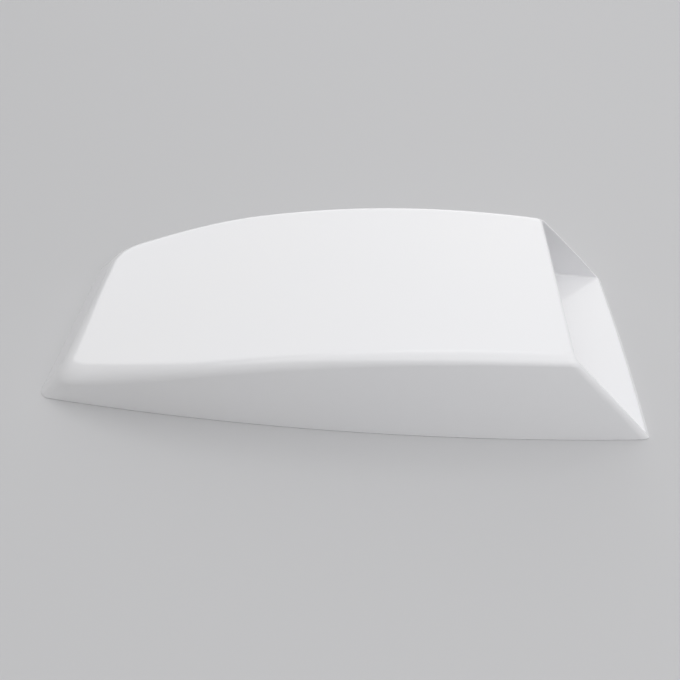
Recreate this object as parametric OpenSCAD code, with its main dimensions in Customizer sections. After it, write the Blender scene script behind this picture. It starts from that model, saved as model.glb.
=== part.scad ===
// Stick-on bonnet scoop: one thin moulding with an arched top panel, drafted bowed sides,
// a sloping rear face, a raked mouth at the front and an open underside.
// X runs forward to the mouth, Y across, Z up. The base lies on z = 0. Sizes are in mm.

/* [Base outline] */
// Length of each side's bottom edge, from the rear face to the lip's corner
base_len = 300; // [250:5:350]
// Width across the base at its widest place
base_w = 129; // [122:1:150]
// Distance of that widest place forward of the middle
widest_at = 34; // [0:1:60]
// Width across the two corners of the lip
lip_w = 119; // [112:1:124]
// Width across the foot of the rear face
rear_w = 105; // [90:1:115]
// How far the lip bows forward at its middle
lip_bow = 1; // [0.4:0.1:5]

/* [Top panel] */
// Height of the panel's crest above the base
crest_h = 48; // [42:0.5:60]
// Distance of the crest forward of the middle
crest_at = 60; // [20:1:80]
// Height of the panel at the mouth
mouth_h = 46.5; // [38:0.5:56]
// Height of the panel at the rear face
rear_h = 16; // [10:0.5:26]
// Width of the panel at its widest place
panel_w = 121; // [108:0.5:126]
// Distance of that place forward of the middle
panel_widest_at = -56; // [-90:1:20]
// Width of the panel at the mouth
panel_mouth_w = 109.5; // [96:0.5:114]
// Width of the panel at the rear face
panel_rear_w = 104.5; // [88:0.5:112]
// How far the mouth leans back from the lip to the panel
mouth_rake = 45.5; // [20:0.5:70]
// How far the rear face leans forward from its foot to the panel
rear_rake = 15.5; // [6:0.5:30]

/* [Walls and edges] */
// Thickness of the moulding
wall = 2.4; // [1.8:0.1:3.4]
// Rounding between the panel and the sides, from the middle to the mouth
edge_r = 6; // [3:0.1:9]
// The same rounding at the rear, where it has grown
edge_rear_r = 9.5; // [4:0.1:11]
// How far the tallest sides crown outward between the base and the panel
side_crown = 0.6; // [0.1:0.1:2]
// Rounding between the panel and the rear face
rear_r = 4.5; // [2:0.1:8]
// Rounding of the two rear corners at the base
corner_r = 5.5; // [3:0.5:10]
// The same rounding at the panel, where it has grown
corner_top_r = 13; // [6:0.5:16]
// How far the soft shoulder round the mouth's rim comes in from the side
rim_r = 1.6; // [0.4:0.1:1.7]
// How far back from the rim that shoulder starts
rim_run = 3.2; // [1.6:0.1:8]
// Rounding of the panel's front edge
front_r = 0.6; // [0.2:0.1:1.2]
// How far the mouth's side rims bulge forward halfway up
mouth_bulge = 0.6; // [0.1:0.1:3]

/* [Mouth pocket] */
// Thickness of the mouth's floor
floor_t = 2.4; // [1.8:0.1:3.4]
// Distance from the lip's corners back to where the floor starts to curl up
floor_len = 75; // [55:1:100]
// Radius of the curl that closes the pocket against the panel
curl_r = 34; // [15:1:38]
// Fillet between the floor and the walls
floor_r = 1.4; // [0.5:0.1:4]

/* [Hidden] */
front_x = base_len / 2;
rear_x = -base_len / 2;
mouth_x = front_x - mouth_rake;
rear_top_x = rear_x + rear_rake;
curl_x = front_x - floor_len;
edge_grows_at = -60;
rear_lean = atan2(rear_h, rear_rake);
mouth_lean = atan2(mouth_h, mouth_rake);
cap_len = max(corner_r, corner_top_r, rear_r);
past = 6;
cap_steps = 8;
round_steps = 6;
edge_steps = 8;
wall_steps = 4;
stations = 36;
lip_steps = 10;
fillet_steps = 5;
fillet_stations = 14;

function lerp(a, b, t) = a + (b - a) * t;
function clamp01(t) = max(0, min(1, t));

// A bowed line with its peak at x0, which comes down to "end" at x1
function bowed(x, x0, peak, x1, end) = peak - (peak - end) * pow((x - x0) / (x1 - x0), 2);

function base_half(x) = x > widest_at
  ? bowed(x, widest_at, base_w / 2, front_x, lip_w / 2)
  : bowed(x, widest_at, base_w / 2, rear_x, rear_w / 2);

function panel_half(x) = x > panel_widest_at
  ? bowed(x, panel_widest_at, panel_w / 2, mouth_x, panel_mouth_w / 2)
  : bowed(x, panel_widest_at, panel_w / 2, rear_top_x, panel_rear_w / 2);

function panel_z(x) = x > crest_at
  ? bowed(x, crest_at, crest_h, mouth_x, mouth_h)
  : bowed(x, crest_at, crest_h, rear_top_x, rear_h);

function panel_slope(x) = (panel_z(x + 0.1) - panel_z(x - 0.1)) / 0.2;

function edge_round(x) =
  lerp(edge_r, edge_rear_r, clamp01((edge_grows_at - x) / (edge_grows_at - rear_top_x)));

// How much longer a wall is along a leaning section than straight through the panel
function lean_gain(xb, xt) = norm([xt - xb, panel_z(xt)]) * norm([panel_slope(xt), 1])
  / (panel_z(xt) - panel_slope(xt) * (xt - xb));

// A leaning section: half width at the foot and at the top, length up the slope, top of the arch.
// The half widths come in by "foot_in" and "top_in", and the arch comes down by "down".
function sec(xb, xt, foot_in, top_in, down) = [
  xb, xt, panel_z(xt), base_half(xb) - foot_in, panel_half(xt) - top_in,
  norm([xt - xb, panel_z(xt)]), norm([xt - xb, panel_z(xt)]) - down];

// How far a rounding of radius "r" stays inside its wall at the distance "d" from its start
function inset(d, r) = r - sqrt(r * r - pow(max(0, r - d), 2));

// The bulge of a section, which grows from nothing at the rear to the mouth's own
function bulge_at(xb) = mouth_bulge * (xb - rear_x) / base_len;

// The crown of a section's sides, which grows with its height
function crown_at(c) = side_crown * pow(c[2] / crest_h, 2);

function half_at(c, s) = let (t = s / c[5]) lerp(c[3], c[4], t) + crown_at(c) * 4 * t * (1 - t);
function fall_at(c, s) = atan((c[3] - c[4] - crown_at(c) * 4 * (1 - 2 * s / c[5])) / c[5]);
function place(c, y, s) = let (t = s / c[5])
  [lerp(c[0], c[1], t) + bulge_at(c[0]) * 4 * t * (1 - t), y, c[2] * t];
function height_s(c, z) = z * c[5] / c[2];

// One side of the arch: its low points at the heights "zs", the crowned wall, then the rounded edge
function side_points(c, r, zs) = let (
    cs = c[6] - r,
    f = fall_at(c, cs),
    top_s = cs + r * sin(f),
    cy = half_at(c, top_s) - r * cos(f),
    low_s = height_s(c, zs[len(zs) - 1])
  ) [
    for (z = zs) [half_at(c, height_s(c, z)), height_s(c, z)],
    for (i = [1 : wall_steps - 1]) let (s = lerp(low_s, top_s, i / wall_steps)) [half_at(c, s), s],
    for (i = [0 : edge_steps]) let (a = lerp(f, 90, i / edge_steps)) [cy + r * cos(a), cs + r * sin(a)]
  ];

function arch(c, r, zs) = let (p = side_points(c, r, zs), n = len(p)) [
    for (i = [0 : n - 1]) place(c, -p[i][0], p[i][1]),
    for (i = [n - 1 : -1 : 0]) place(c, p[i][0], p[i][1])
  ];

// The straight foot between the far and the near side, bowed forward by "bow"
function foot(c, z, bow) = let (y = half_at(c, height_s(c, z))) [
    for (i = [1 : lip_steps - 1]) let (t = 1 - 2 * i / lip_steps)
      place(c, t * y, height_s(c, z)) + [bow * (1 - t * t), 0, 0]
  ];

// Skin of a solid lofted through rings that all have the same number of points
function skin_faces(rings, n) = [
    for (k = [0 : rings - 2]) for (i = [0 : n - 1]) let (a = k * n + i, b = k * n + (i + 1) % n)
      each [[a, b, b + n], [a, b + n, a + n]]
  ];

// Outer stations: rear rounding, the long run, then the mouth's rim
outer_secs = [
  for (i = [0 : cap_steps]) let (d = cap_len * (1 - cos(90 * i / cap_steps)))
    sec(rear_x + d, rear_top_x + d, inset(d, corner_r), inset(d, corner_top_r), inset(d, rear_r)),
  for (i = [1 : stations]) let (t = i / stations, d = rim_run / sin(mouth_lean))
    sec(lerp(rear_x + cap_len, front_x - d, t), lerp(rear_top_x + cap_len, mouth_x - d, t), 0, 0, 0),
  for (i = [1 : round_steps])
    let (a = 90 * i / round_steps, p = rim_run * (1 - sin(a)), d = p / sin(mouth_lean),
        e = rim_r * (1 - cos(a)))
      sec(front_x - d, mouth_x - d, e, e, inset(p, front_r))
];

// Inner stations: the same run one wall inside, carried on past the mouth
in_rear_r = max(rear_r - wall, 0.5);
in_corner_r = max(corner_r - wall, 0.5);
in_corner_top_r = max(corner_top_r - wall, 0.5);
in_len = max(in_rear_r, in_corner_r, in_corner_top_r);
in_x = wall / sin(rear_lean);

// The void's top rises at the mouth, so that the panel's front edge stands upright
front_down = front_r + 0.4;
front_back = (wall * lean_gain(front_x, mouth_x) - front_down) * cos(mouth_lean);
inner_secs = [
  for (i = [0 : cap_steps])
    let (d = in_len * (1 - cos(90 * i / cap_steps)), xb = rear_x + in_x + d, xt = rear_top_x + in_x + d)
      sec(xb, xt, wall + inset(d, in_corner_r), wall + inset(d, in_corner_top_r),
        wall * lean_gain(xb, xt) + inset(d, in_rear_r)),
  for (i = [1 : stations]) let (t = i / stations, xb = lerp(rear_x + in_x + in_len, front_x - front_back, t),
      xt = lerp(rear_top_x + in_x + in_len, mouth_x - front_back, t))
    sec(xb, xt, wall, wall, wall * lean_gain(xb, xt)),
  for (d = [0, past])
    sec(front_x + d, mouth_x + d, wall, wall, front_down)
];

module outer_form() {
  last = outer_secs[len(outer_secs) - 1];
  rings = [for (c = outer_secs) concat(arch(c, edge_round(c[1]), [0, floor_t]),
    foot(c, 0, c == last ? lip_bow : 0))];
  n = len(rings[0]);
  k = len(rings);
  side = (n - lip_steps + 1) / 2;
  lip_top = foot(last, floor_t, lip_bow);
  hub = place(last, 0, height_s(last, floor_t));
  rear_hub = place(outer_secs[0], 0, outer_secs[0][6] / 2);
  points = concat([for (r = rings) each r], lip_top, [hub, rear_hub]);
  e = (k - 1) * n;
  top0 = k * n;
  hub_i = len(points) - 2;
  low_row = [e + 2 * side - 1, for (i = [0 : lip_steps - 2]) e + 2 * side + i, e];
  top_row = [e + 2 * side - 2, for (i = [0 : lip_steps - 2]) top0 + i, e + 1];
  faces = concat(
    [for (i = [0 : n - 1]) [hub_i + 1, (i + 1) % n, i]],
    skin_faces(k, n),
    [for (i = [0 : lip_steps - 1])
      each [[low_row[i], low_row[i + 1], top_row[i + 1]], [low_row[i], top_row[i + 1], top_row[i]]]],
    [for (i = [0 : lip_steps - 1]) [hub_i, top_row[i], top_row[i + 1]]],
    [for (i = [1 : 2 * side - 3]) [hub_i, e + i, e + i + 1]]
  );
  polyhedron(points, faces, convexity = 6);
}

module inner_form() {
  rings = [for (c = inner_secs) arch(c, max(edge_round(c[1]) - wall, 0.6), [-past])];
  n = len(rings[0]);
  k = len(rings);
  points = [for (r = rings) each r];
  faces = concat(
    [[for (i = [n - 1 : -1 : 0]) i]],
    skin_faces(k, n),
    [[for (i = [0 : n - 1]) (k - 1) * n + i]]
  );
  polyhedron(points, faces, convexity = 6);
}

// Side view of the mouth's pocket, grown by "g" on its floor and curl
module pocket_side(g) {
  union() {
    translate([curl_x, floor_t - g])
      square([floor_len + 2 * past, crest_h + 2 * past]);
    translate([curl_x - curl_r - g, floor_t + curl_r])
      square([curl_r + g + past, crest_h + past]);
    translate([curl_x, floor_t + curl_r])
      circle(r = curl_r + g, $fn = 96);
  }
}

// The floor of the mouth with the curl that closes it, as wide as the base
module floor_and_curl() {
  translate([0, base_w / 2 + past, 0])
    rotate([90, 0, 0])
      linear_extrude(height = base_w + 2 * past)
        difference() {
          pocket_side(floor_t);
          pocket_side(0);
        }
}

// One fillet along the foot of a wall inside the mouth, on the side of "flip"
module floor_fillet(flip) {
  secs = [for (i = [0 : fillet_stations])
    let (x = lerp(curl_x - 0.3 * curl_r, front_x + past, i / fillet_stations))
      sec(x, x - mouth_rake, wall, wall, 0)];
  rings = [for (c = secs) let (lap = 0.3, s0 = height_s(c, floor_t), rs = height_s(c, floor_r)) [
    place(c, half_at(c, s0) - floor_r, s0 - lap),
    place(c, half_at(c, s0) - floor_r, s0 - lap / 4),
    for (a = [fillet_steps - 1 : -1 : 1]) let (b = 90 * a / fillet_steps, s = s0 + rs * (1 - sin(b)))
      place(c, half_at(c, s) - floor_r * (1 - cos(b)), s),
    place(c, half_at(c, s0 + rs) + lap, s0 + rs),
    place(c, half_at(c, s0) + wall / 3, s0 + rs),
    place(c, half_at(c, s0) + wall / 3, s0 - lap)
  ]];
  n = len(rings[0]);
  k = len(rings);
  points = [for (r = rings) each r];
  faces = concat(
    [[for (i = [n - 1 : -1 : 0]) i]],
    skin_faces(k, n),
    [[for (i = [0 : n - 1]) (k - 1) * n + i]]
  );
  mirror([0, flip, 0])
    polyhedron(points, faces, convexity = 4);
}

module scoop() {
  color([0.93, 0.93, 0.94])
    translate([-lip_bow / 2, 0, 0])
      difference() {
        outer_form();
        difference() {
          inner_form();
          floor_and_curl();
          floor_fillet(0);
          floor_fillet(1);
        }
      }
}

scoop();
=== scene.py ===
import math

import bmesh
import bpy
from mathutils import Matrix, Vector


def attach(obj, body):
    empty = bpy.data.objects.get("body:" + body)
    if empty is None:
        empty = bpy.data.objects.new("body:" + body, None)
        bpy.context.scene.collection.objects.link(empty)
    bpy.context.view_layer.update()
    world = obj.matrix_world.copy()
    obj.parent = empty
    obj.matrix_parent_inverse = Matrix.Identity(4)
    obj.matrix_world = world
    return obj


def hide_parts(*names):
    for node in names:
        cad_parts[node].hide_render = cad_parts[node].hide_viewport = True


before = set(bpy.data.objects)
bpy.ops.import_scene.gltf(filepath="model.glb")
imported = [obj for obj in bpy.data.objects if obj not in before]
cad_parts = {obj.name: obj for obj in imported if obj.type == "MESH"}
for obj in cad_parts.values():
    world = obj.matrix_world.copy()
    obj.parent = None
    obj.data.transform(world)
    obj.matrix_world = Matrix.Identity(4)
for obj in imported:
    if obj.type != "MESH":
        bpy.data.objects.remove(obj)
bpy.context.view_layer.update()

# A stick-on bonnet scoop: one gloss white moulding with an arched panel, drafted sides,
# a sloping rear face, a raked mouth with a floor, and an open underside.
# The moulding is worked as a toolmaker would: an outer blank is lofted, a hollow is lofted and
# split by the mouth's floor and curl, and both parts of the hollow are cut out of the blank.

MM = 0.001

# ---------------------------------------------------------------- sizes, in millimetres

# The foot on the bonnet, and the lip's bow. The mouth faces +X, and each _AT is a place along X.
BASE_LEN, BASE_W, WIDEST_AT, LIP_W, REAR_W = 300.0, 129.0, 34.0, 119.0, 105.0
LIP_BOW = 1.0

# The panel, the walls that lean up to it, and how far the sides and the mouth swell.
CREST_H, CREST_AT, MOUTH_H, REAR_H = 48.0, 60.0, 46.5, 16.0
PANEL_W, PANEL_WIDEST_AT, PANEL_MOUTH_W, PANEL_REAR_W = 121.0, -56.0, 109.5, 104.5
MOUTH_RAKE, REAR_RAKE = 45.5, 15.5
SIDE_CROWN, MOUTH_BULGE = 0.6, 0.6

# The wall, and the roundings of the outside. The panel's edge rounding grows toward the rear.
WALL = 2.4
EDGE_R, EDGE_REAR_R, EDGE_GROWS_AT = 6.0, 9.5, -60.0
REAR_R, CORNER_R, CORNER_TOP_R = 4.5, 5.5, 13.0
RIM_R, RIM_RUN, FRONT_R = 1.6, 3.2, 0.6             # the rim comes in by RIM_R over RIM_RUN
BASE_BREAK, RIM_BREAK, LIP_BREAK = 0.5, 0.5, 1.2    # on the foot, the rim's inside and the lip

# The inside: the mouth's floor with its fillets, its curl, and how the hollow meets the rim.
FLOOR_T, FLOOR_LEN, CURL_R, FLOOR_R = 2.4, 75.0, 34.0, 1.4
LEAST_R = 0.6           # the hollow's smallest edge rounding
RIM_RISE = 0.4          # how far the hollow's top is under the panel's front rounding

FRONT_X, REAR_X = BASE_LEN / 2, -BASE_LEN / 2
MOUTH_X, REAR_TOP_X = FRONT_X - MOUTH_RAKE, REAR_X + REAR_RAKE
CURL_X = FRONT_X - FLOOR_LEN
MOUTH_LEAN = math.atan2(MOUTH_H, MOUTH_RAKE)
REAR_LEAN = math.atan2(REAR_H, REAR_RAKE)
SHIFT_X = -LIP_BOW / 2      # brings the whole length to the middle of the frame

PAST = 6.0              # how far the cutting tools reach past what they cut
LAP = 0.3               # how far a fillet's tool sinks into what it leans on
UNDERCUT = 3.0          # how far behind the curl's start the hollow under it begins

# How finely each form is stepped, and the row of faces beside the edge's rounding.
CAP_STEPS, ROUND_STEPS, EDGE_STEPS, STATIONS = 14, 12, 14, 60
SIDE_STEPS, PANEL_STEPS, LIP_STEPS, CURL_STEPS = 8, 10, 20, 40
BREAK_STEPS, FLOOR_STEPS, FILLET_STEPS = 4, 20, 8
PANEL_ROW, SLOPE_REACH = 0.4, 0.1

# What the cuts leave is closed up to these measures, and the result is tried against the solid.
WELD, PINHOLE_SIDES = 0.002, 8
VOLUME, VOLUME_SLACK, MOST_TURNS = 157970.0, 60.0, 12       # in cubic millimetres, and tries
SHADE_ANGLE, FACE_WEIGHT = 32, 50                           # in degrees, and Blender's own scale


# ---------------------------------------------------------------- the form

def lerp(a, b, t):
    return a + (b - a) * t


def bowed(x, x0, peak, x1, end):
    """A bow with its peak at x0, which comes down to its end value at x1."""
    return peak - (peak - end) * ((x - x0) / (x1 - x0)) ** 2


def base_half(x):
    end = (FRONT_X, LIP_W / 2) if x > WIDEST_AT else (REAR_X, REAR_W / 2)
    return bowed(x, WIDEST_AT, BASE_W / 2, *end)


def panel_half(x):
    end = (MOUTH_X, PANEL_MOUTH_W / 2) if x > PANEL_WIDEST_AT else (REAR_TOP_X, PANEL_REAR_W / 2)
    return bowed(x, PANEL_WIDEST_AT, PANEL_W / 2, *end)


def panel_z(x):
    end = (MOUTH_X, MOUTH_H) if x > CREST_AT else (REAR_TOP_X, REAR_H)
    return bowed(x, CREST_AT, CREST_H, *end)


def panel_slope(x):
    return (panel_z(x + SLOPE_REACH) - panel_z(x - SLOPE_REACH)) / (2 * SLOPE_REACH)


def edge_round(x):
    grown = min(1.0, max(0.0, (EDGE_GROWS_AT - x) / (EDGE_GROWS_AT - REAR_TOP_X)))
    return lerp(EDGE_R, EDGE_REAR_R, grown)


def inset(d, r):
    """How far a rounding of radius r stays inside its wall, at the distance d from its start."""
    return r - math.sqrt(r * r - max(0.0, r - d) ** 2)


def rounding(r, a):
    """How far in and how high a foot's rounding of radius r is, at the angle a of its turn."""
    return r * (1 - math.sin(a)), r * (1 - math.cos(a))


def quarter(steps):
    """The angles of a quarter turn."""
    return [math.pi / 2 * k / steps for k in range(steps + 1)]


def lean_gain(foot_x, top_x):
    """How much longer the wall is along a leaning section than straight through the panel."""
    z, slope = panel_z(top_x), panel_slope(top_x)
    return math.hypot(top_x - foot_x, z) * math.hypot(slope, 1) / (z - slope * (top_x - foot_x))


def lip_rows():
    """The lip's round top edge: each row's height, and how far it stands from the raked face."""
    z_in = FLOOR_T - LIP_BREAK
    x_in = -z_in / math.tan(MOUTH_LEAN) - LIP_BREAK / math.sin(MOUTH_LEAN)
    rows = []
    for k in range(BREAK_STEPS + 1):
        a = lerp(MOUTH_LEAN, 0.0, k / BREAK_STEPS)
        z = z_in + LIP_BREAK * math.cos(a)
        rows.append((z, x_in + LIP_BREAK * math.sin(a) + z / math.tan(MOUTH_LEAN)))
    return rows


# The corners along the lip, as shares of its half width. The last are three quarters of a wall in.
RIM_SPOT = 1 - 1.5 * WALL / LIP_W
LIP_SPOTS = [-RIM_SPOT] + [2 * k / LIP_STEPS - 1 for k in range(1, LIP_STEPS)] + [RIM_SPOT]

# The low corners of each arch, as (how far in, how high).
OUTER_LOW = [rounding(BASE_BREAK, a) for a in quarter(BREAK_STEPS)]
OUTER_LOW += [(0.0, z) for z, stand in lip_rows()]
INNER_LOW = [(0.0, -PAST)]


class Section:
    """A leaning slice of the moulding, from its foot on the bonnet to the top of its arch.

    Places in it are y across and s up along it. Its foot and top can come in, and its arch down.
    """

    def __init__(self, foot_x, top_x, foot_in=0.0, top_in=0.0, down=0.0):
        self.foot_x, self.top_x, self.z = foot_x, top_x, panel_z(top_x)
        self.foot_half = base_half(foot_x) - foot_in
        self.top_half = panel_half(top_x) - top_in
        self.length = math.hypot(top_x - foot_x, self.z)
        self.arch_at = self.length - down
        self.crown = 4 * SIDE_CROWN * (self.z / CREST_H) ** 2

    def half(self, s):
        t = s / self.length
        return lerp(self.foot_half, self.top_half, t) + self.crown * t * (1 - t)

    def fall(self, s):
        """The wall's own lean at s, as an angle."""
        run = self.foot_half - self.top_half - self.crown * (1 - 2 * s / self.length)
        return math.atan2(run, self.length)

    def up(self, z):
        """The s of a height."""
        return z * self.length / self.z

    def place(self, y, s, bow=0.0):
        t = s / self.length
        bulge = MOUTH_BULGE * (self.foot_x - REAR_X) / BASE_LEN * 4 * t * (1 - t)
        x = lerp(self.foot_x, self.top_x, t) + bulge + bow + SHIFT_X
        return Vector((x, y, self.z * t)) * MM

    def side(self, r, low):
        """Half of the arch: the low corners, then up the wall, round with radius r, and in."""
        edge_s = self.arch_at - r
        fall = self.fall(edge_s)
        wall_s = edge_s + r * math.sin(fall)
        edge_y = self.half(wall_s) - r * math.cos(fall)
        points = [(self.half(self.up(z)) - come_in, self.up(z)) for come_in, z in low]
        low_s = points[-1][1]
        for k in range(1, SIDE_STEPS):
            s = lerp(low_s, wall_s, k / SIDE_STEPS)
            points.append((self.half(s), s))
        for k in range(EDGE_STEPS + 1):
            a = lerp(fall, math.pi / 2, k / EDGE_STEPS)
            points.append((edge_y + r * math.cos(a), edge_s + r * math.sin(a)))
        row_y = max(0.0, points[-1][0] - PANEL_ROW)
        points += [(lerp(row_y, 0.0, k / PANEL_STEPS), self.arch_at) for k in range(PANEL_STEPS)]
        return points

    def arch(self, r, low):
        half = self.side(r, low)
        far = [self.place(y, s) for y, s in half]
        near = [self.place(-y, s) for y, s in reversed(half)]
        return far + [self.place(0.0, self.arch_at)] + near

    def foot(self, bow=0.0):
        y = self.half(0.0) - BASE_BREAK
        return [self.place(t * y, 0.0, bow * (1 - t * t)) for t in LIP_SPOTS]


def rear_cap(corner_r, corner_top_r, rear_r, x_in=0.0, wall=0.0):
    """The slices that round the rear face off, from the face forward."""
    reach = max(corner_r, corner_top_r, rear_r)
    slices = []
    for a in quarter(CAP_STEPS):
        d = reach * (1 - math.cos(a))
        foot_x, top_x = REAR_X + x_in + d, REAR_TOP_X + x_in + d
        down = inset(d, rear_r) + (wall * lean_gain(foot_x, top_x) if wall else 0.0)
        slices.append(Section(foot_x, top_x, wall + inset(d, corner_r),
                              wall + inset(d, corner_top_r), down))
    return slices, reach


def outer_slices():
    """The outside, up to the rounding of the mouth's rim."""
    slices, reach = rear_cap(CORNER_R, CORNER_TOP_R, REAR_R)
    run = RIM_RUN / math.sin(MOUTH_LEAN)
    for k in range(1, STATIONS + 1):
        t = k / STATIONS
        slices.append(Section(lerp(REAR_X + reach, FRONT_X - run, t),
                              lerp(REAR_TOP_X + reach, MOUTH_X - run, t)))
    for a in quarter(ROUND_STEPS)[1:]:
        away, come_in = RIM_RUN * (1 - math.sin(a)), RIM_R * (1 - math.cos(a))
        d = away / math.sin(MOUTH_LEAN)
        slices.append(Section(FRONT_X - d, MOUTH_X - d, come_in, come_in, inset(away, FRONT_R)))
    return slices


def inner_slices():
    """The hollow, one wall inside. Its top rises at the mouth: the panel's front is upright."""
    x_in = WALL / math.sin(REAR_LEAN)
    slices, reach = rear_cap(CORNER_R - WALL, CORNER_TOP_R - WALL, REAR_R - WALL, x_in, WALL)
    front_down = FRONT_R + RIM_RISE
    back = (WALL * lean_gain(FRONT_X, MOUTH_X) - front_down) * math.cos(MOUTH_LEAN)
    for k in range(1, STATIONS + 1):
        t = k / STATIONS
        foot_x = lerp(REAR_X + x_in + reach, FRONT_X - back, t)
        top_x = lerp(REAR_TOP_X + x_in + reach, MOUTH_X - back, t)
        slices.append(Section(foot_x, top_x, WALL, WALL, WALL * lean_gain(foot_x, top_x)))
    back_down = slices[-1].length - slices[-1].arch_at
    for a in quarter(BREAK_STEPS):
        away, thinned = rounding(RIM_BREAK, a)
        d, wall = away / math.sin(MOUTH_LEAN), WALL - thinned
        down = lerp(front_down, back_down, d / back)
        slices.append(Section(FRONT_X - d, MOUTH_X - d, wall, wall, down))
    wall = WALL - RIM_BREAK
    slices.append(Section(FRONT_X + PAST, MOUTH_X + PAST, wall, wall, front_down))
    return slices


# ---------------------------------------------------------------- bench work

def nothing_selected():
    if bpy.context.object and bpy.context.object.mode != "OBJECT":
        bpy.ops.object.mode_set(mode="OBJECT")
    bpy.ops.object.select_all(action="DESELECT")


def pick(piece):
    nothing_selected()
    piece.select_set(True)
    bpy.context.view_layer.objects.active = piece


def settle(loop, ring):
    for vert, spot in zip(loop, ring):
        vert.co = spot


def flatten(piece):
    """Splits every face into triangles, so that each face is truly flat for a cut."""
    pick(piece)
    bpy.ops.object.mode_set(mode="EDIT")
    bpy.ops.mesh.select_all(action="SELECT")
    bpy.ops.mesh.quads_convert_to_tris(quad_method="FIXED", ngon_method="CLIP")
    bpy.ops.object.mode_set(mode="OBJECT")


def cut(piece, tool, keep_inside=False):
    """Takes the tool's shape out of the piece, or keeps what is inside it. Uses the tool up."""
    flatten(tool)
    flatten(piece)
    bite = piece.modifiers.new("bite", "BOOLEAN")
    bite.operation = "INTERSECT" if keep_inside else "DIFFERENCE"
    bite.solver, bite.object = "EXACT", tool
    bpy.ops.object.modifier_apply(modifier=bite.name)
    bpy.data.objects.remove(tool)


def pick_corners(blank, numbers):
    """Selects just these corners, and the edges between them, of the mesh being edited."""
    bpy.ops.mesh.select_mode(type="VERT")
    bpy.ops.mesh.select_all(action="DESELECT")
    mesh = bmesh.from_edit_mesh(blank.data)
    mesh.verts.ensure_lookup_table()
    for i in numbers:
        mesh.verts[i].select_set(True)
    mesh.select_flush(True)


def pick_open_edges(piece):
    """Selects just the edges of the holes in the mesh being edited."""
    bpy.ops.mesh.select_mode(type="EDGE")
    bpy.ops.mesh.select_all(action="DESELECT")
    mesh = bmesh.from_edit_mesh(piece.data)
    for edge in mesh.edges:
        if edge.is_boundary:
            edge.select_set(True)
    mesh.select_flush_mode()


def loft(name, rings):
    """Extrudes a ring slice by slice, each settled in its own place, and closes the first end."""
    nothing_selected()
    count = len(rings[0])
    bpy.ops.mesh.primitive_circle_add(vertices=count, radius=BASE_W / 2 * MM, fill_type="NOTHING")
    blank = bpy.context.object
    blank.name = name
    bpy.ops.object.mode_set(mode="EDIT")
    bpy.ops.mesh.select_all(action="SELECT")
    mesh = bmesh.from_edit_mesh(blank.data)
    mesh.verts.ensure_lookup_table()
    loop = list(range(count))
    settle([mesh.verts[i] for i in loop], rings[0])
    for ring in rings[1:]:
        bpy.ops.mesh.extrude_region_move()
        mesh = bmesh.from_edit_mesh(blank.data)
        mesh.verts.ensure_lookup_table()
        ahead = []
        for i in loop:
            ends = [edge.other_vert(mesh.verts[i]) for edge in mesh.verts[i].link_edges]
            ahead.append(next(vert for vert in ends if vert.select))
        settle(ahead, ring)
        mesh.verts.index_update()
        loop = [vert.index for vert in ahead]
        bmesh.update_edit_mesh(blank.data)
    pick_corners(blank, range(count))
    bpy.ops.mesh.edge_face_add()
    return blank, loop


def outwards(blank):
    bpy.ops.mesh.select_all(action="SELECT")
    bpy.ops.mesh.normals_make_consistent(inside=False)
    bpy.ops.object.mode_set(mode="OBJECT")


def closed_loft(name, rings):
    blank, loop = loft(name, rings)
    pick_corners(blank, loop)
    bpy.ops.mesh.edge_face_add()
    outwards(blank)
    return blank


# ---------------------------------------------------------------- the moulding

def outer_blank():
    """The outside form. Its mouth is closed by the lip's bowed front and a flat face over it."""
    slices = outer_slices()
    mouth = slices[-1]
    rings = [s.arch(edge_round(s.top_x), OUTER_LOW) + s.foot(LIP_BOW if s is mouth else 0.0)
             for s in slices]
    blank, loop = loft("scoop_moulding", rings)
    arch_count = len(rings[-1]) - len(LIP_SPOTS)
    pick_corners(blank, loop[arch_count - 1:] + loop[:1])
    spots = [-1.0] + LIP_SPOTS + [1.0]
    steps = [(*rounding(BASE_BREAK, a), 0.0) for a in quarter(BREAK_STEPS)[1:]]
    steps += [(0.0, z, stand) for z, stand in lip_rows()]
    for come_in, z, stand in steps:
        bpy.ops.mesh.extrude_edges_move()
        mesh = bmesh.from_edit_mesh(blank.data)
        y = mouth.half(mouth.up(z)) - come_in
        row = sorted((vert for vert in mesh.verts if vert.select), key=lambda vert: vert.co.y)
        for t, vert in zip(spots, row):
            bow = LIP_BOW * (1 - t * t) + (stand if abs(t) < 1 else 0.0)
            vert.co = mouth.place(t * y, mouth.up(z), bow)
    bpy.ops.mesh.select_all(action="SELECT")
    bpy.ops.mesh.remove_doubles(threshold=WELD * MM)
    pick_open_edges(blank)
    bpy.ops.mesh.edge_face_add()
    bpy.ops.mesh.poke()
    outwards(blank)
    return blank


def hollow_blank():
    """All that is inside the walls, from past the mouth to under the foot."""
    return closed_loft("hollow", [s.arch(max(edge_round(s.top_x) - WALL, LEAST_R), INNER_LOW)
                                  for s in inner_slices()])


def curl_arc(r, start=0.0):
    """The curl in the side view, from the floor up, at the radius r."""
    turns = [lerp(start, math.pi / 2, k / CURL_STEPS) for k in range(CURL_STEPS + 1)]
    return [(CURL_X - r * math.sin(a), FLOOR_T + CURL_R - r * math.cos(a)) for a in turns]


def side_block(name, outline):
    """A block with this outline in the side view, wider than the moulding."""
    half = BASE_W / 2 + PAST
    return closed_loft(name, [[Vector((x + SHIFT_X, y, z)) * MM for x, z in outline]
                              for y in (-half, half)])


def mouth_side():
    """All that is over the mouth's floor and in front of the curl."""
    front, high = FRONT_X + 2 * PAST, CREST_H + 2 * PAST
    return side_block("mouth_side", [(front, FLOOR_T)] + curl_arc(CURL_R)
                      + [(CURL_X - CURL_R, high), (front, high)])


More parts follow.
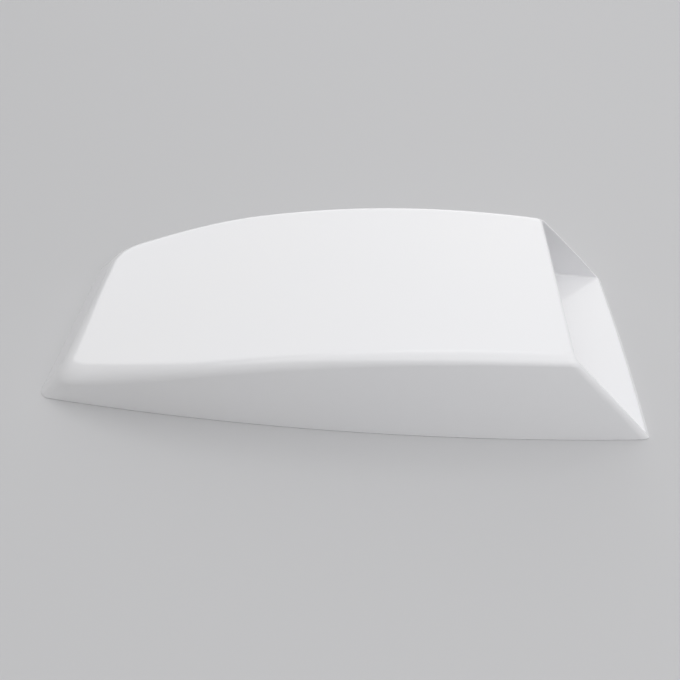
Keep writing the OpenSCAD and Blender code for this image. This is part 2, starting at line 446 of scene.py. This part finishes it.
def front_side():
    """The same with the floor and the curl themselves, and all that is under the floor."""
    front, high, low = FRONT_X + 2 * PAST, CREST_H + 2 * PAST, -2 * PAST
    back_r = CURL_R + FLOOR_T
    return side_block("front_side", [(front, low), (CURL_X - UNDERCUT, low)]
                      + curl_arc(back_r, math.asin(UNDERCUT / back_r))
                      + [(CURL_X - back_r, high), (front, high)])


def wall_half(x, z, slices):
    """Half the clear width between the walls at a place in the side view."""
    def reach(piece):
        return piece.place(0.0, piece.up(z)).x / MM - SHIFT_X
    ahead = next((k for k, s in enumerate(slices) if reach(s) >= x), len(slices) - 1)
    back, front = slices[max(0, ahead - 1)], slices[ahead]
    gap = reach(front) - reach(back)
    t = (x - reach(back)) / gap if gap else 0.0
    return lerp(back.half(back.up(z)), front.half(front.up(z)), t)


def fillet_path():
    """The floor and the curl in the side view: each place, and the way off the surface there."""
    path = [(lerp(FRONT_X + PAST, CURL_X, k / FLOOR_STEPS), FLOOR_T, 0.0, 1.0)
            for k in range(FLOOR_STEPS)]
    path += [(*place, math.sin(a), math.cos(a))
             for place, a in zip(curl_arc(CURL_R), quarter(CURL_STEPS))]
    return path + [(CURL_X - CURL_R, CREST_H + PAST, 1.0, 0.0)]


def floor_fillet(hand):
    """The fillet between one wall and the floor, carried on up the curl."""
    slices = inner_slices()
    outline = [(-LAP, FLOOR_R), (-LAP / 4, FLOOR_R)]
    outline += [rounding(FLOOR_R, a) for a in reversed(quarter(FILLET_STEPS)[1:-1])]
    outline += [(FLOOR_R, -LAP), (FLOOR_R, -WALL / 2), (-LAP, -WALL / 2)]
    rings = []
    for path_x, path_z, off_x, off_z in fillet_path():
        ring = []
        for off, inward in outline:
            x, z = path_x + off_x * off, path_z + off_z * off
            y = hand * (wall_half(x, z, slices) - inward)
            ring.append(Vector((x + SHIFT_X, y, z)) * MM)
        rings.append(ring)
    return closed_loft("fillet", rings)


def moulded():
    """Cuts each void as one connected tool, and closes the slivers and pinholes this leaves."""
    mouth = hollow_blank()
    cut(mouth, mouth_side(), keep_inside=True)
    for hand in (1, -1):
        cut(mouth, floor_fillet(hand))
    underside = hollow_blank()
    cut(underside, front_side())
    shell = outer_blank()
    cut(shell, underside)
    cut(shell, mouth)
    pick(shell)
    bpy.ops.object.mode_set(mode="EDIT")
    bpy.ops.mesh.select_all(action="SELECT")
    bpy.ops.mesh.remove_doubles(threshold=WELD * MM)
    bpy.ops.mesh.dissolve_degenerate(threshold=WELD * MM)
    bpy.ops.mesh.fill_holes(sides=PINHOLE_SIDES)
    bpy.ops.object.mode_set(mode="OBJECT")
    return shell


def sound(shell):
    """Whether the moulding came out closed and with the volume of the solid it dresses."""
    mesh = bmesh.new()
    mesh.from_mesh(shell.data)
    closed = all(len(edge.link_faces) == 2 for edge in mesh.edges)
    volume = mesh.calc_volume(signed=True) / MM ** 3
    mesh.free()
    return closed and abs(volume - VOLUME) < VOLUME_SLACK


def moulding():
    """The moulding, made over again where a cut failed. Its flat faces look flat to their edges."""
    for turn in range(1, MOST_TURNS + 1):
        shell = moulded()
        if sound(shell):
            break
        print("moulding: turn", turn, "was not sound")
        if turn < MOST_TURNS:
            bpy.data.objects.remove(shell)
    shell.name = "scoop_moulding"
    pick(shell)
    bpy.ops.object.shade_smooth_by_angle(angle=math.radians(SHADE_ANGLE))
    even = shell.modifiers.new("even", "WEIGHTED_NORMAL")
    even.mode, even.weight, even.keep_sharp = "FACE_AREA", FACE_WEIGHT, True
    bpy.ops.object.modifier_apply(modifier=even.name)
    return shell


# ---------------------------------------------------------------- finish

WARM_WHITE = (0.885, 0.880, 0.886, 1.0)
COOL_WHITE = (0.858, 0.861, 0.888, 1.0)
DUST_GREY = (0.45, 0.44, 0.42, 1.0)
FLOOR_SEEN = (0.60, 0.60, 0.61, 1.0)
FLOOR_BOUNCE = (0.60, 0.60, 0.60, 1.0)
GLOSS = 0.16                            # the roughness of clean plastic
SKY_COLOUR = (0.98, 0.985, 1.0, 1.0)
SKY, SKY_SEEN = 0.05, 0.66              # how strongly the sky lights, and how it looks


class Wire:
    """A node's output, on which sums are written as plain expressions."""

    def __init__(self, bench, socket):
        self.bench, self.socket = bench, socket

    def _sum(self, operation, *terms):
        return self.bench.node("ShaderNodeMath", {"operation": operation}, dict(enumerate(terms)))

    def __add__(self, other):
        return self._sum("ADD", self, other)

    def __radd__(self, other):
        return self._sum("ADD", other, self)

    def __sub__(self, other):
        return self._sum("SUBTRACT", self, other)

    def __rsub__(self, other):
        return self._sum("SUBTRACT", other, self)

    def __mul__(self, other):
        return self._sum("MULTIPLY", self, other)

    def __rmul__(self, other):
        return self._sum("MULTIPLY", other, self)

    def clamp(self):
        """The same, held between 0 and 1."""
        return self.bench.node("ShaderNodeMath", {"operation": "ADD", "use_clamp": True},
                               {0: self, 1: 0.0})


class Finish:
    """A material or a world built of nodes, each made by one call."""

    def __init__(self, owner):
        self.owner = owner
        owner.use_nodes = True
        self.tree = owner.node_tree
        self.tree.nodes.clear()

    def node(self, kind, settings=None, inputs=None, output=0):
        """Adds a node, sets it up, and fills or links its sockets."""
        made = self.tree.nodes.new(kind)
        for key, value in (settings or {}).items():
            setattr(made, key, value)
        for key, value in (inputs or {}).items():
            if isinstance(value, Wire):
                self.tree.links.new(value.socket, made.inputs[key])
            else:
                made.inputs[key].default_value = value
        return Wire(self, made.outputs[output])

    def blend(self, factor, first, second):
        """Mixes two colours by a factor."""
        return self.node("ShaderNodeMix", {"data_type": "RGBA"},
                         {0: factor, 6: first, 7: second}, output=2)

    def seen(self):
        """1 where the camera, a reflection or a view through glass looks, 0 for bounced light."""
        rays = [self.node("ShaderNodeLightPath", output=name)
                for name in ("Is Camera Ray", "Is Glossy Ray", "Is Transmission Ray")]
        return (rays[0] + rays[1] + rays[2]).clamp()

    def done(self, shader, end="ShaderNodeOutputMaterial"):
        self.tree.links.new(shader.socket, self.tree.nodes.new(end).inputs["Surface"])
        return self.owner


def gloss_white():
    """Gloss white plastic: a faint cloud of warm and cool white, soft flow waves, fine dust."""
    bench = Finish(bpy.data.materials.new("gloss_white_moulding"))
    place = bench.node("ShaderNodeTexCoord", output="Object")
    cloud = bench.node("ShaderNodeTexNoise", inputs={
        "Vector": place, "Scale": 9.0, "Detail": 2.0, "Roughness": 0.5})
    waves = bench.node("ShaderNodeTexNoise", inputs={
        "Vector": place, "Scale": 60.0, "Detail": 1.0, "Roughness": 0.4})
    skin = bench.node("ShaderNodeTexNoise", inputs={
        "Vector": place, "Scale": 700.0, "Detail": 2.0, "Roughness": 0.6})
    dust = bench.node("ShaderNodeTexVoronoi", {"feature": "F1"}, {"Vector": place, "Scale": 90.0})
    speck = 1.0 - bench.node("ShaderNodeMapRange", {"interpolation_type": "SMOOTHSTEP"},
                             {"Value": dust, "From Min": 0.02, "From Max": 0.05})
    white = bench.blend(cloud, WARM_WHITE, COOL_WHITE)
    colour = bench.blend(speck * 0.06, white, DUST_GREY)
    rough = GLOSS + (cloud - 0.5) * 0.05 + speck * 0.15
    height = waves * 0.7 + skin * 0.08
    relief = bench.node("ShaderNodeBump", inputs={
        "Height": height, "Strength": 0.12, "Distance": 0.0004})
    shader = bench.node("ShaderNodeBsdfPrincipled", inputs={
        "Base Color": colour, "Roughness": rough.clamp(), "Normal": relief,
        "IOR": 1.49, "Coat Weight": 0.15, "Coat Roughness": 0.05})
    return bench.done(shader)


def studio_floor():
    """Pale grey to the camera and in reflections, and a plain bounce board for the lamps."""
    bench = Finish(bpy.data.materials.new("studio_floor"))
    colour = bench.blend(bench.seen(), FLOOR_BOUNCE, FLOOR_SEEN)
    shader = bench.node("ShaderNodeBsdfPrincipled", inputs={
        "Base Color": colour, "Roughness": 0.8, "Specular IOR Level": 0.1})
    return bench.done(shader)


# ---------------------------------------------------------------- studio

FLOOR_SIZE, FLOOR_DROP = 2.4, 0.00005       # metres; the floor is a hair under the foot
LAMPS = {    # where each hangs, its side in metres and its power in watts
    "overhead_soft_box": ((0.47, -0.30, 1.75), 3.0, 34.0),
    "back_soft_box": ((-0.40, 1.60, 0.95), 3.0, 27.5),
    "front_soft_box": ((0.88, -1.15, 0.92), 2.4, 9.6),
}

# The photo's camera, as fitted to the scoop's outline. The fit counts pixels from their middles.
EYE = Vector((15.56, -265.40, 263.35)) * MM
PITCH, YAW, ROLL = math.radians(45.0), math.radians(-3.698), math.radians(0.049)
FOCAL_PX, FRAME_PX, HALF_PIXEL = 686.10, 680.0, 0.5
SENSOR = 36.0
NEAREST, FARTHEST = 0.01, 20.0


def camera():
    data = bpy.data.cameras.new("photo_camera")
    data.sensor_fit, data.sensor_width = "HORIZONTAL", SENSOR
    data.lens = SENSOR * FOCAL_PX / FRAME_PX
    data.clip_start, data.clip_end = NEAREST, FARTHEST
    eye = bpy.data.objects.new("photo_camera", data)
    bpy.context.scene.collection.objects.link(eye)
    look = Vector((math.sin(YAW) * math.cos(PITCH), math.cos(YAW) * math.cos(PITCH),
                   -math.sin(PITCH)))
    level = Vector((math.cos(YAW), -math.sin(YAW), 0.0))
    over = level.cross(look)
    right = math.cos(ROLL) * level + math.sin(ROLL) * over
    up = -math.sin(ROLL) * level + math.cos(ROLL) * over
    eye.matrix_world = Matrix((right, up, -look)).transposed().to_4x4()
    nudge = HALF_PIXEL / FOCAL_PX * EYE.length
    eye.location = EYE - nudge * right + nudge * up
    bpy.context.scene.camera = eye


def studio():
    """The floor, the soft boxes, each turned to the scoop, and the sky."""
    bpy.ops.mesh.primitive_plane_add(size=FLOOR_SIZE)
    ground = bpy.context.object
    ground.name = "studio_floor"
    ground.data.transform(Matrix.Translation((0.0, 0.0, -FLOOR_DROP)))
    ground.data.materials.append(studio_floor())
    for name, (place, size, power) in LAMPS.items():
        lamp = bpy.data.lights.new(name, "AREA")
        lamp.shape, lamp.size, lamp.energy = "SQUARE", size, power
        box = bpy.data.objects.new(name, lamp)
        bpy.context.scene.collection.objects.link(box)
        box.location = place
        box.rotation_euler = (-Vector(place)).to_track_quat("-Z", "Y").to_euler()
    sky = Finish(bpy.data.worlds.new("studio_sky"))
    strength = SKY + sky.seen() * (SKY_SEEN - SKY)
    light = sky.node("ShaderNodeBackground", inputs={"Color": SKY_COLOUR, "Strength": strength})
    bpy.context.scene.world = sky.done(light, "ShaderNodeOutputWorld")
    bpy.context.scene.view_settings.view_transform = "Standard"


# ---------------------------------------------------------------- putting it together

camera()
shell = moulding()
shell.data.materials.clear()
shell.data.materials.append(gloss_white())
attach(shell, "root")
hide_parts("scoop")
nothing_selected()
studio()
nothing_selected()
